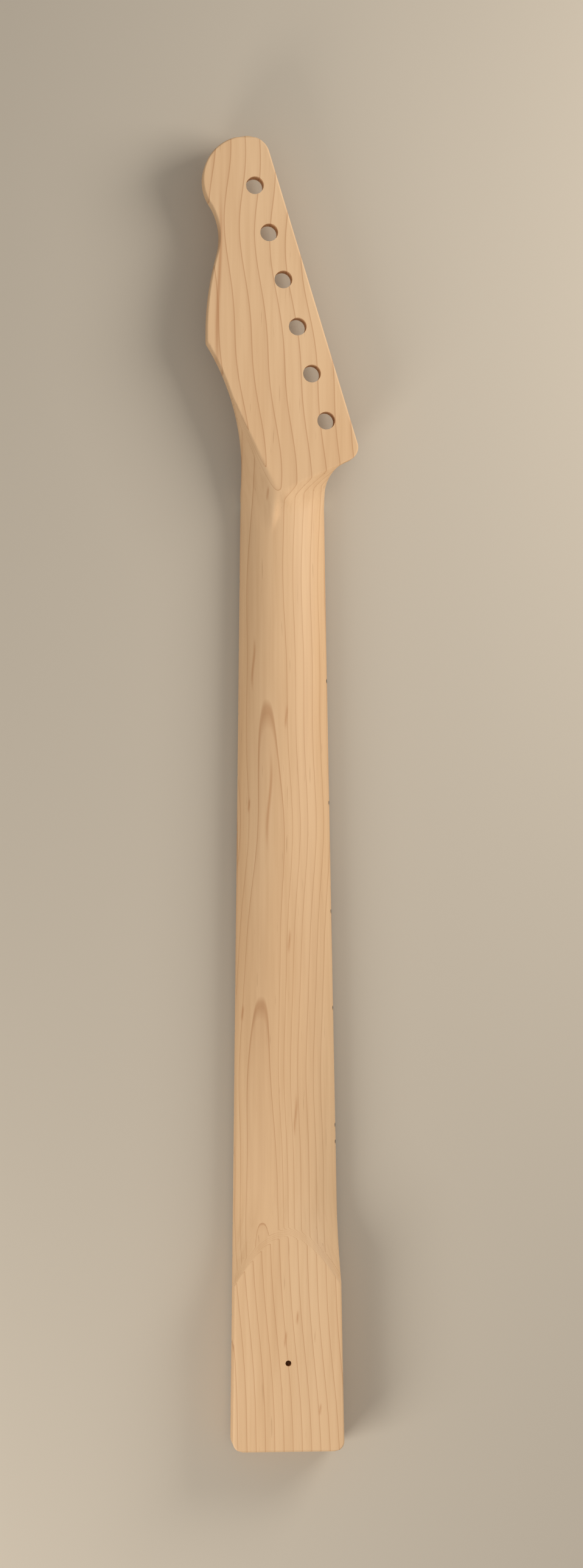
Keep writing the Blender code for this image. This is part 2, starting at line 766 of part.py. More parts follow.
def rod_stations(start, end, count):
    return [start + (end - start) * i / (count - 1) for i in range(count)]


rod_curve = bpy.data.curves.new("truss_rod", "CURVE")
rod_curve.dimensions = "3D"
rod_curve.bevel_depth = rod_radius
rod_curve.bevel_resolution = 4
rod_curve.use_fill_caps = True
rod_points = rod_stations(rod_start, rod_end, 26)
spline = rod_curve.splines.new("POLY")
spline.points.add(len(rod_points) - 1)
for point, y in zip(spline.points, rod_points):
    point.co = (0.0, y, rod_height(y), 1.0)
truss_rod = bpy.data.objects.new("truss_rod", rod_curve)
add_part(truss_rod, steel)


def channel_ring(y, half, low, high):
    return [(-half, y, low), (half, y, low), (half, y, high), (-half, y, high)]


channel = loft("truss_channel", [
    channel_ring(y, channel_half, glue_height - 1 * MM, rod_height(y) + channel_half)
    for y in rod_stations(anchor_middle_y, counterbore_floor - 0.2 * MM, 20)])
cut(neck, add_cutter(channel))

anchor_pocket_top = rod_height_at_ends + 0.5 * anchor_width + seat_gap
pocket_half = 0.5 * anchor_width + seat_gap
cut(neck, add_cutter(boxes("anchor_pocket", [
    ((-pocket_half, anchor_near - seat_gap, glue_height - 1 * MM),
     (pocket_half, rod_start + seat_gap, anchor_pocket_top))])))
counterbore_middle = (0.0, 0.5 * (heel_end - 1 * MM + counterbore_floor), rod_height_at_ends)
cut(neck, add_cutter(cylinders("nut_counterbore",
                               [(counterbore_middle, (0, 1, 0), counterbore_depth + 1 * MM)],
                               0.5 * counterbore_diameter, round_sides)))
shade(neck)
add_part(neck, maple)

fillet_points = rod_stations(anchor_near - 2 * seat_gap, counterbore_floor + seat_gap, 20)
truss_fillet = loft("truss_fillet", [
    channel_ring(y, channel_half - seat_gap, neck_floor, rod_height(y) - rod_radius - seat_gap)
    for y in fillet_points])
add_part(truss_fillet, maple)

truss_anchor = boxes("truss_anchor", [
    ((-0.5 * anchor_width, -0.5 * anchor_length, -0.5 * anchor_width),
     (0.5 * anchor_width, 0.5 * anchor_length, 0.5 * anchor_width))])
truss_anchor.location = (0.0, anchor_middle_y, rod_height_at_ends)
bevel(truss_anchor, 0.6 * MM, 1)
rod_bore = add_cutter(cylinders("rod_bore", [
    ((0.0, anchor_middle_y, rod_height_at_ends), (0, 1, 0), 2 * anchor_length)],
    rod_radius + seat_gap, round_sides))
cut(truss_anchor, rod_bore)
add_part(truss_anchor, steel)

washer_middle = counterbore_floor - seat_gap - 0.5 * washer_thickness
nut_bore = add_cutter(cylinders("nut_bore", [
    ((0.0, 0.5 * (slot_bottom + counterbore_floor), rod_height_at_ends), (0, 1, 0),
     counterbore_floor - slot_bottom + 1 * MM)], rod_radius + seat_gap, round_sides))
truss_washer = placed_cylinder("truss_washer", (0.0, washer_middle, rod_height_at_ends), (0, -1, 0),
                               washer_thickness, 0.5 * truss_nut_diameter + 0.3 * MM, round_sides)
cut(truss_washer, nut_bore)
shade(truss_washer)
add_part(truss_washer, steel)

truss_nut = placed_cylinder("truss_nut",
                            (0.0, truss_nut_near + 0.5 * truss_nut_length, rod_height_at_ends),
                            (0, -1, 0), truss_nut_length, 0.5 * truss_nut_diameter, round_sides)
bevel(truss_nut, 0.7 * MM, 1)
cut(truss_nut, nut_bore)
half_slot_width = 0.5 * truss_nut_slot_width
reach = 0.5 * truss_nut_diameter + 1 * MM
slot_near = truss_nut_near - 1 * MM
screw_slots = boxes("screwdriver_slots", [
    ((-half_slot_width, slot_near, rod_height_at_ends - reach),
     (half_slot_width, slot_bottom, rod_height_at_ends + reach))])
cross_slot = boxes("screwdriver_cross_slot", [
    ((-reach, slot_near, rod_height_at_ends - half_slot_width),
     (reach, slot_bottom, rod_height_at_ends + half_slot_width))])
cut(truss_nut, add_cutter(screw_slots))
cut(truss_nut, add_cutter(cross_slot))
shade(truss_nut)
add_part(truss_nut, brass)


# The whole neck rests on its playing side, with the middle of its outline over the origin
bpy.context.view_layer.update()
low, high = Vector((1.0, 1.0, 1.0)), Vector((-1.0, -1.0, -1.0))
for obj in parts.objects:
    if obj.type == "MESH":
        for vertex in obj.data.vertices:
            place = obj.matrix_world @ vertex.co
            low = Vector(map(min, low, place))
            high = Vector(map(max, high, place))
datum.location = (-0.5 * (low.x + high.x), -0.5 * (low.y + high.y), -low.z)
bpy.context.view_layer.update()
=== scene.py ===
import math

import bmesh
import bpy
import numpy as np
from mathutils import Matrix, Vector


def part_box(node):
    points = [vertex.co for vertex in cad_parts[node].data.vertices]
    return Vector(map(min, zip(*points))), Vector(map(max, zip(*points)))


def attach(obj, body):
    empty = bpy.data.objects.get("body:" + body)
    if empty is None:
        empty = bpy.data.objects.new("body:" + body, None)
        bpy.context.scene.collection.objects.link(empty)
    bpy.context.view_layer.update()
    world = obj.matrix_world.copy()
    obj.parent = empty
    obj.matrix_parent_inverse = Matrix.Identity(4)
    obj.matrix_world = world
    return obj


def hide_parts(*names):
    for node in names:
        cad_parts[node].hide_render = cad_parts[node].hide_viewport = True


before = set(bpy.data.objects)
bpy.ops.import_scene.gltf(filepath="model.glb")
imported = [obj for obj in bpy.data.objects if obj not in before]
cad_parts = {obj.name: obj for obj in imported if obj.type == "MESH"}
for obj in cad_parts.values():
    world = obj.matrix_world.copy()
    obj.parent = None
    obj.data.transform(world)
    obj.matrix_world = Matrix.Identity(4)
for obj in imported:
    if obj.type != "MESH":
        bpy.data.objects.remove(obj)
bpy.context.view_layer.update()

# Camera: nearly straight above the neck, which lies on its frets, and a little to its treble side.
# The neck's own places are counted from the datum: x from the middle of the board, y from the
# front of the nut, z from the crown of the playing face.
MM = 0.001
blank_thickness = 25.4 * MM
board_low, board_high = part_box("fretboard")
datum = (0.5 * (board_low.x + board_high.x),
         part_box("nut")[0].y,
         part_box("neck")[1].z - blank_thickness)

lens_mm = 114.24
sensor_mm = 36.0
camera_from_datum = (-166.475 * MM, -138.055 * MM, 2501.944 * MM)
camera_turn = (0.000147, -0.068195, -0.003994)
farthest_seen = 20.0

camera_data = bpy.data.cameras.new("camera")
camera_data.lens = lens_mm
camera_data.sensor_width = sensor_mm
camera_data.clip_end = farthest_seen
camera = bpy.data.objects.new("camera", camera_data)
camera.location = tuple(np.add(datum, camera_from_datum))
camera.rotation_euler = camera_turn
bpy.context.scene.collection.objects.link(camera)
bpy.context.scene.camera = camera


# Neck: shaft, heel and headstock in one piece of bare flat-sawn maple. It is band-sawn to its
# outline, its back is shaped by hand, with a cove up to the flat of the heel and another up to
# the headstock's, and all of it is sanded smooth.
scale_length = 647.7 * MM
half_nut = 20.95 * MM
half_heel = 27.95 * MM
heel_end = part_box("neck")[0].y - datum[1]
headstock_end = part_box("neck")[1].y - datum[1]
heel_corner_radius = 5.0 * MM


def arc(radius, reach):
    """Height of a circle over its middle: the root of radius squared less reach squared."""
    return np.sqrt(np.maximum(radius ** 2 - reach ** 2, 0.0))


def shaft_half(y):
    """Half the shaft's width: a straight taper, less the round of the heel's corners."""
    half = half_nut + (half_heel - half_nut) * np.minimum(y, 0.0) / heel_end
    into_corner = np.clip(heel_end + heel_corner_radius - y, 0.0, heel_corner_radius)
    return half - heel_corner_radius + arc(heel_corner_radius, into_corner)


def touching_arc(last_x, last_y, last_radius, x, radius):
    """The next arc of an S curve: its centre's y, and the y where the last arc ends and it starts.

    The two centres are both radii apart, and the arcs meet between them.
    """
    apart = last_radius + radius
    y = last_y - math.sqrt(apart ** 2 - (last_x - x) ** 2)
    return y, last_y + (y - last_y) * last_radius / apart


tip_treble_radius = 21.5 * MM
tip_treble_x = -18.8 * MM
tip_treble_y = headstock_end - tip_treble_radius
waist_radius = 31.0 * MM
waist_x = -63.0 * MM
waist_y, tip_treble_end = touching_arc(
    tip_treble_x, tip_treble_y, tip_treble_radius, waist_x, waist_radius)
belly_radius = 150.0 * MM
belly_x = 111.3 * MM
belly_y, waist_end = touching_arc(waist_x, waist_y, waist_radius, belly_x, belly_radius)
flank_radius = 118.0 * MM
flank_y = 20.0 * MM


def treble_edge(y):
    """Treble outline: tip, waist and belly arcs, then the wide flank arc into the shaft."""
    flank = -half_nut - flank_radius + arc(flank_radius, y - flank_y)
    belly = belly_x - arc(belly_radius, y - belly_y)
    return np.select(
        [y <= flank_y, y >= tip_treble_end, y >= waist_end],
        [-shaft_half(y),
         tip_treble_x - arc(tip_treble_radius, y - tip_treble_y),
         waist_x + arc(waist_radius, y - waist_y)],
        np.maximum(flank, belly))


tuner_line_angle = math.radians(16.7)
edge_sin = math.sin(tuner_line_angle)
edge_cos = math.cos(tuner_line_angle)
tuner_first_x = -14.4 * MM
tuner_first_y = 160.3 * MM
tuner_edge_margin = 11.8 * MM
edge_x = tuner_first_x + tuner_edge_margin * edge_cos
edge_y = tuner_first_y + tuner_edge_margin * edge_sin

tip_bass_radius = 10.6 * MM
tip_bass_y = headstock_end - tip_bass_radius
tip_bass_x = edge_x - (tip_bass_radius + (tip_bass_y - edge_y) * edge_sin) / edge_cos
tip_bass_end = tip_bass_y + tip_bass_radius * edge_sin

shoulder_angle = math.radians(24.8)
shoulder_sin = math.sin(shoulder_angle)
shoulder_cos = math.cos(shoulder_angle)
shoulder_y = 18.0 * MM
corner_radius = 6.8 * MM
corner_x, corner_y = np.linalg.solve(
    [[edge_cos, edge_sin], [shoulder_sin, -shoulder_cos]],
    [edge_x * edge_cos + edge_y * edge_sin - corner_radius,
     half_nut * shoulder_sin - shoulder_y * shoulder_cos - corner_radius])
corner_top = corner_y + corner_radius * edge_sin
corner_bottom = corner_y - corner_radius * shoulder_cos
fillet_radius = 16.0 * MM
fillet_y = shoulder_y - fillet_radius * (1.0 - shoulder_sin) / shoulder_cos
fillet_top = fillet_y + fillet_radius * shoulder_cos


def bass_edge(y):
    """Bass outline: tip arc, straight tuner edge, corner arc, shoulder line, fillet, shaft."""
    return np.select(
        [y <= fillet_y, y <= fillet_top, y <= corner_bottom, y <= corner_top, y <= tip_bass_end],
        [shaft_half(y),
         half_nut + fillet_radius - arc(fillet_radius, y - fillet_y),
         half_nut + (y - shoulder_y) * shoulder_cos / shoulder_sin,
         corner_x + arc(corner_radius, y - corner_y),
         edge_x + (edge_y - y) * edge_sin / edge_cos],
        tip_bass_x + arc(tip_bass_radius, y - tip_bass_y))


crest_treble_y = -2.0 * MM
crest_treble_angle = math.radians(24.4)
crest_treble_slope = -1.0 / math.tan(crest_treble_angle)
crest_bass_slope = shoulder_sin / shoulder_cos
crest_bass_y = shoulder_y - crest_bass_slope * half_nut
crest_softness = 4.0 * MM


def crest(x):
    """The headstock flat's edge: smooth maximum of two straight lines; its y and slope at x."""
    treble = crest_treble_y + crest_treble_slope * x
    bass = crest_bass_y + crest_bass_slope * x
    gap = 0.5 * (treble - bass)
    reach = np.sqrt(gap ** 2 + crest_softness ** 2)
    mean_slope = 0.5 * (crest_treble_slope + crest_bass_slope)
    slope = mean_slope + gap / reach * 0.5 * (crest_treble_slope - crest_bass_slope)
    return 0.5 * (treble + bass) + reach, slope


crest_samples = 2001
across_nut = np.linspace(-half_nut, half_nut, crest_samples)
crest_tip_x = across_nut[crest(across_nut)[0].argmin()]

heel_flat_length = 107.1 * MM
heel_arch_top = heel_end + heel_flat_length
heel_arch_rise = 26.1 * MM
heel_arch_power = 1.77


def heel_arch(x):
    """The heel flat's edge: it falls from its top as a power of the distance; y and slope at x."""
    reach = np.abs(x) / half_heel
    slope = -heel_arch_rise * heel_arch_power / half_heel * reach ** (heel_arch_power - 1.0)
    return heel_arch_top - heel_arch_rise * reach ** heel_arch_power, slope * np.sign(x)


def ease(value, low, high):
    """Smooth step: three t squared less two t cubed, for t from 0 at low to 1 at high."""
    t = np.clip((value - low) / (high - low), 0.0, 1.0)
    return t * t * (3.0 - 2.0 * t)


def cove(depth, soft):
    """Lift of a cove at a share of its depth, from 1 at the flat's edge to 0 at its foot.

    Its crisp sides are hollow, one less the depth, squared. Its soft tip is an S, one less the
    depth squared, squared.
    """
    depth = np.clip(depth, 0.0, 1.0)
    return (1.0 - soft) * (1.0 - depth) ** 2 + soft * (1.0 - depth ** 2) ** 2


fret_1_y = -scale_length * (1.0 - 2.0 ** (-1 / 12))
fret_12_y = -0.5 * scale_length
ridge_at_fret_1 = 21.0 * MM
ridge_at_fret_12 = 23.4 * MM
side_height = 3.0 * MM
side_height_headstock = 14.0 * MM
side_rise_start = -12.0 * MM
side_rise_end = 24.0 * MM
crest_cove = 14.0 * MM
heel_cove = 22.0 * MM
tip_softness = 7.0 * MM
edge_round = 0.8 * MM
slope_step = 0.05 * MM


def back_height(x, y):
    """Height of the back: a half-ellipse section, lifted by the two coves, eased at the outline.

    The larger lift of the two takes the section its share of the way to the blank's thickness.
    The easing is a quarter circle over the distance from the outline.
    """
    left, right = treble_edge(y), bass_edge(y)
    side = side_height + (side_height_headstock - side_height) * ease(y, side_rise_start, side_rise_end)
    thickening = (ridge_at_fret_12 - ridge_at_fret_1) * (y - fret_1_y) / (fret_12_y - fret_1_y)
    ridge = ridge_at_fret_1 + thickening
    share = np.clip(np.where(x < 0.0, x / left, x / right), 0.0, 1.0)
    section = side + (ridge - side) * np.sqrt(1.0 - share ** 2)

    crest_y, crest_slope = crest(x)
    arch_y, arch_slope = heel_arch(x)
    lift = np.maximum(
        cove((crest_y - y) / np.sqrt(1.0 + crest_slope ** 2) / crest_cove,
             np.exp(-((x - crest_tip_x) / tip_softness) ** 2)),
        cove((y - arch_y) / np.sqrt(1.0 + arch_slope ** 2) / heel_cove,
             np.exp(-(x / tip_softness) ** 2)))

    inside = np.minimum(
        (x - left) / np.hypot(1.0, (left - treble_edge(y - slope_step)) / slope_step),
        (right - x) / np.hypot(1.0, (right - bass_edge(y - slope_step)) / slope_step))
    inside = np.clip(np.minimum(inside, y - heel_end), 0.0, edge_round)
    eased = edge_round - arc(edge_round, edge_round - inside)
    return np.minimum(section + (blank_thickness - section) * lift, blank_thickness - eased)


glue_line_height = 6.04 * MM
ledge_end = 6.7 * MM
scoop_radius = 19.0 * MM
headstock_thickness = 14.3 * MM
headstock_face = blank_thickness - headstock_thickness
scoop_end = ledge_end + math.sqrt(scoop_radius ** 2 - (scoop_radius - headstock_face) ** 2)


def underside(y):
    """Height of the wood's underside: the glue face, then the scoop's arc, then the flat face."""
    scoop = headstock_face - scoop_radius + arc(scoop_radius, y - scoop_end)
    scoop = np.where(y < ledge_end, glue_line_height, np.maximum(scoop, glue_line_height))
    return np.where(y >= scoop_end, headstock_face, scoop)


def bunched(count):
    """Steps from 0 to 1 by half a cosine, close together at both ends."""
    return 0.5 * (1.0 - np.cos(np.linspace(0.0, math.pi, count)))


section_count = 720
section_points = 120
end_bunching = 0.1
foot_probes = 400
probed_share = 0.7
least_side = 0.05 * MM


def neck_surface():
    """Sections across the neck, in even steps along y that are mixed with some bunched ones.

    A section goes up from the underside to a foot, over the back in bunched steps of x to the
    other foot, and down again. A foot is the first place in from the outline that stands clear
    of the underside.
    """
    even = np.linspace(0.0, 1.0, section_count)
    along = (1.0 - end_bunching) * even + end_bunching * bunched(section_count)
    ys = (heel_end + (headstock_end - heel_end) * along)[:, None]
    under = underside(ys)
    feet = []
    for edge in (treble_edge(ys), bass_edge(ys)):
        reach = edge * (1.0 - probed_share * np.linspace(0.0, 1.0, foot_probes))
        clear = back_height(reach, ys) >= under + least_side
        first = np.argmax(clear, axis=1)
        feet.append(np.take_along_axis(reach, first[:, None], axis=1))
    xs = feet[0] + (feet[1] - feet[0]) * bunched(section_points)
    tops = np.maximum(back_height(xs, ys), under + least_side)
    ring_x = np.concatenate([feet[0], xs, feet[1]], axis=1)
    ring_z = np.concatenate([under, tops, under], axis=1)
    return np.stack([ring_x, np.broadcast_to(ys, ring_x.shape), ring_z], axis=2)


def skin(name, grid):
    """A closed mesh over a grid of rings: quads from each ring to the next, and two end caps."""
    rows, size = grid.shape[:2]
    row, column = np.meshgrid(np.arange(rows - 1), np.arange(size), indexing="ij")
    after = (column + 1) % size
    quads = np.stack([row * size + column, row * size + after,
                      (row + 1) * size + after, (row + 1) * size + column], axis=-1).reshape(-1, 4)
    caps = [list(range(size))[::-1], [(rows - 1) * size + i for i in range(size)]]
    places = grid.reshape(-1, 3) + datum
    mesh = bpy.data.meshes.new(name)
    mesh.from_pydata(places.tolist(), [], quads.tolist() + caps)
    piece = bpy.data.objects.new(name, mesh)
    bpy.context.scene.collection.objects.link(piece)
    return piece


def drill(name, holes, sides):
    """A cutter of cylinders, each from its middle, radius, length and whether it lies along y."""
    cylinders = bmesh.new()
    for middle, radius, length, lies in holes:
        made = bmesh.ops.create_cone(cylinders, cap_ends=True, segments=sides, radius1=radius,
                                     radius2=radius, depth=length)["verts"]
        if lies:
            quarter_turn = Matrix.Rotation(math.radians(90), 3, "X")
            bmesh.ops.rotate(cylinders, verts=made, matrix=quarter_turn)
        bmesh.ops.translate(cylinders, verts=made, vec=Vector(np.add(middle, datum)))
    mesh = bpy.data.meshes.new(name)
    cylinders.to_mesh(mesh)
    cylinders.free()
    piece = bpy.data.objects.new(name, mesh)
    bpy.context.scene.collection.objects.link(piece)
    return piece


neck = skin("maple_neck", neck_surface())
shell = bmesh.new()
shell.from_mesh(neck.data)
bmesh.ops.recalc_face_normals(shell, faces=shell.faces)
shell.to_mesh(neck.data)
shell.free()

# The tuner holes go through the headstock, the pin hole is blind, and the truss nut's counterbore
# runs in from the heel's end. Each drill starts outside the wood, and its middle's depth is given.
tuner_count = 6
tuner_pitch = 24.5 * MM
tuner_radius = 4.45 * MM
tuner_drill_depth, tuner_drill_length = 7.0 * MM, 24.0 * MM
pin_from_end = 44.2 * MM
pin_radius = 1.5 * MM
pin_drill_depth, pin_drill_length = 3.0 * MM, 10.0 * MM
counterbore_height = 12.6 * MM
counterbore_radius = 5.2 * MM
counterbore_drill_depth, counterbore_drill_length = 6.75 * MM, 15.5 * MM
drill_sides = 64
crisp_angle = math.radians(30)

holes = []
for number in range(tuner_count):
    middle = (tuner_first_x + number * tuner_pitch * edge_sin,
              tuner_first_y - number * tuner_pitch * edge_cos,
              blank_thickness - tuner_drill_depth)
    holes.append((middle, tuner_radius, tuner_drill_length, False))
pin_middle = (0.0, heel_end + pin_from_end, blank_thickness - pin_drill_depth)
holes.append((pin_middle, pin_radius, pin_drill_length, False))
counterbore_middle = (0.0, heel_end + counterbore_drill_depth, counterbore_height)
holes.append((counterbore_middle, counterbore_radius, counterbore_drill_length, True))

cutter = drill("bores", holes, drill_sides)
boring = neck.modifiers.new("bores", "BOOLEAN")
boring.operation = "DIFFERENCE"
boring.solver = "EXACT"
boring.object = cutter
bored = bpy.data.meshes.new_from_object(neck.evaluated_get(bpy.context.evaluated_depsgraph_get()))
neck.modifiers.clear()
neck.data = bored
bpy.data.objects.remove(cutter, do_unlink=True)
neck.data.shade_smooth()
neck.data.set_sharp_from_angle(angle=crisp_angle)

# Growth rings: the number of each ring, and how far along y the tip of its arch lies, in metres.
# Where the tip is past the headstock's end, only the sides of the arch are on the wood.
ring_numbers = (-7.0, -5.4, -4.0, -3.0, -2.0, -1.0, 0.0, 1.0, 2.0, 3.0, 4.0, 5.0, 6.0)
ring_tips = (-0.90, -0.60, -0.3795, -0.3714, -0.3562, -0.2359, -0.0874,
             0.124, 0.544, 1.26, 2.5, 4.05, 6.1)
arch_area = 4.86 * MM ** 2
arch_middle_x = -8.5 * MM
arch_drift = -4.0 * MM
arch_drift_start = 150.0 * MM
arch_drift_end = 250.0 * MM

# Sways of the rings along y, each with its height, its length and its start. On the heel, and in
# the short one on the headstock, the start is x over a length of its own.
shaft_sways = ((0.9 * MM, 37.0 * MM, 0.0), (0.4 * MM, 13.2 * MM, 1.0))
headstock_slow_sway = (2.6 * MM, 30.0 * MM, 0.6)
headstock_short_sway = (1.2 * MM, 11.5 * MM)
headstock_sway_turn = 20.0 * MM
heel_sway = (0.8 * MM, 19.0 * MM)
heel_sway_turn = 30.0 * MM

headstock_spacing = 7.6 * MM
headstock_lean = 0.05
headstock_middle_ring = 0.45
headstock_blend = 7.0 * MM
heel_spacing = 4.5 * MM
heel_lean = 0.055
heel_middle_ring = 0.2
heel_blend = 5.0 * MM


def sway(y, height, length, start):
    """A slow wave along y: its height times the sine of y over its length, plus its start."""
    return height * np.sin(y / length + start)


def ring_count(x, y):
    """Growth rings met at a point: arches along the shaft, near-straight lines on the flats.

    On the shaft the rings lie as cubic arches: the cube of the distance from their middle over an
    area, plus y, is looked up among the tips. On the headstock and the heel they are lines that
    lean a little from y, a spacing apart, with a slow sway, counted from the ring at the middle.
    A short blend at each flat's edge joins the two.
    """
    middle = arch_middle_x + arch_drift * ease(-y, arch_drift_start, arch_drift_end)
    wave = sum(sway(y, *each) for each in shaft_sways)
    shaft = np.interp(np.abs(x - middle - wave) ** 3 / arch_area + y, ring_tips, ring_numbers)
    wave = sway(y, *headstock_slow_sway) + sway(y, *headstock_short_sway, x / headstock_sway_turn)
    headstock = (x + headstock_lean * y - wave) / headstock_spacing + headstock_middle_ring
    wave = sway(y, *heel_sway, x / heel_sway_turn)
    heel = (x + heel_lean * y - wave) / heel_spacing + heel_middle_ring
    on_headstock = ease(y - crest(x)[0], -headstock_blend, 0.0)
    on_heel = ease(heel_arch(x)[0] - y, -heel_blend, 0.0)
    shaft = shaft * (1 - on_headstock) * (1 - on_heel)
    return shaft + headstock * on_headstock + heel * on_heel


# Mineral streaks: thin orange-brown marks along the grain, each at its x and y, with half its
# length.
mineral_streaks = MM * np.array([
    (-32.6, 111.0, 39.0), (-8.2, -147.0, 21.0), (0.4, -104.7, 5.0), (-15.6, -78.0, 11.0),
    (-18.0, -149.0, 3.0), (1.5, -217.0, 5.0), (4.2, -304.0, 9.0), (-21.5, -253.0, 3.5),
    (-1.4, -415.4, 3.5), (4.6, -404.7, 3.0), (15.8, -450.6, 2.5), (-8.5, 6.7, 3.0)])
streak_width = 0.38 * MM
streak_widening = 0.012
streak_bend = 1.1 * MM
streak_bend_rate = 2.1
full_bend_at = 20.0 * MM


def streak_depth(x, y):
    """Sum of the streaks, at most 1: a bell across each, times a flat-topped bell along it.

    A streak's middle bends as a sine, the full bend in a long streak and less in a short one, and
    its width is a base width plus a share of half its length.
    """
    total = np.zeros_like(x)
    for middle_x, middle_y, half in mineral_streaks:
        along = (y - middle_y) / half
        bend = streak_bend * np.sin(streak_bend_rate * along) * min(1.0, half / full_bend_at)
        width = streak_width + streak_widening * half
        total += np.exp(-((x - middle_x - bend) / width) ** 2 - along ** 4)
    return np.minimum(total, 1.0)


places = np.empty(len(neck.data.vertices) * 3)
neck.data.vertices.foreach_get("co", places)
places = places.reshape(-1, 3)
grain_x = places[:, 0] - datum[0]
grain_y = places[:, 1] - datum[1]
for name, value in (("rings", ring_count(grain_x, grain_y)), ("streaks", streak_depth(grain_x, grain_y))):
    attribute = neck.data.attributes.new(name, "FLOAT", "POINT")
    attribute.data.foreach_set("value", value.astype(np.float32))


def shader(name, roughness, metallic=0.0):
    """A new material with its node tree and its shader."""
    material = bpy.data.materials.new(name)
    material.use_nodes = True
    tree = material.node_tree
    principled = tree.nodes["Principled BSDF"]
    principled.inputs["Roughness"].default_value = roughness
    principled.inputs["Metallic"].default_value = metallic
    return material, tree, principled


def node(tree, kind, **settings):
    """A new node of a kind, with its settings."""
    made = tree.nodes.new(kind)
    for key, value in settings.items():
        setattr(made, key, value)
    return made


def feed(tree, socket, value):
    """Links a socket to another node's output, or sets it to a colour or a number."""
    if hasattr(value, "is_output"):
        tree.links.new(value, socket)
    elif isinstance(value, tuple):
        socket.default_value = (*value, 1.0)
    else:
        socket.default_value = value


def noise(tree, stretch, detail=3.0):
    """Noise over Object coordinates, each of which is first multiplied by its part of stretch."""
    mapping = node(tree, "ShaderNodeMapping")
    mapping.inputs["Scale"].default_value = stretch
    feed(tree, mapping.inputs["Vector"], node(tree, "ShaderNodeTexCoord").outputs["Object"])
    made = node(tree, "ShaderNodeTexNoise")
    made.inputs["Scale"].default_value = 1.0
    made.inputs["Detail"].default_value = detail
    feed(tree, made.inputs["Vector"], mapping.outputs["Vector"])
    return made.outputs["Fac"]


def grey(level):
    """A colour with three equal parts."""
    return (level, level, level)


def ramp(tree, source, stops):
    """Colours laid over a value: straight lines between stops, each a place and a colour."""
    made = node(tree, "ShaderNodeValToRGB")
    elements = made.color_ramp.elements
    while len(elements) < len(stops):
        elements.new(0.5)
    for element, (place, colour) in zip(elements, stops):
        element.position = place
        element.color = (*colour, 1.0)
    feed(tree, made.inputs["Fac"], source)
    return made.outputs["Color"]


def mix(tree, kind, share, first, second):
    """Mix of two colours, the second by its share, which is a number or a socket."""
    made = node(tree, "ShaderNodeMix", data_type="RGBA", blend_type=kind)
    feed(tree, made.inputs[0], share)
    feed(tree, made.inputs[6], first)
    feed(tree, made.inputs[7], second)
    return made.outputs[2]


def arithmetic(tree, operation, first, second=0.0):
    """One operation on two numbers or sockets."""
    made = node(tree, "ShaderNodeMath", operation=operation)
    feed(tree, made.inputs[0], first)
    feed(tree, made.inputs[1], second)
    return made.outputs[0]


maple_roughness = 0.62
maple_roughness_spread = 0.06
deep_cream = (0.75, 0.485, 0.265)
pale_cream = (0.81, 0.55, 0.32)
growth_brown = (0.45, 0.20, 0.075)
mineral_brown = (0.44, 0.17, 0.05)
fleck_brown = (0.42, 0.22, 0.10)
pore_tone = (0.93, 0.90, 0.87)
growth_strength = 0.56
mineral_strength = 0.55
fleck_strength = 0.35
pore_strength = 0.8
ring_wander = 0.14
straight_rings_per_metre = 190.0
growth_line = ((0.0, 0.0), (0.70, 0.06), (0.90, 0.25), (0.955, 1.0), (0.975, 0.9), (1.0, 0.0))
wander_stretch = (60, 9, 60)
cream_stretch = (34, 5, 34)
pore_stretch = (420, 16, 420)
fleck_stretch = (900, 55, 900)
pore_bump = 0.06
pore_bump_depth = 0.2 * MM


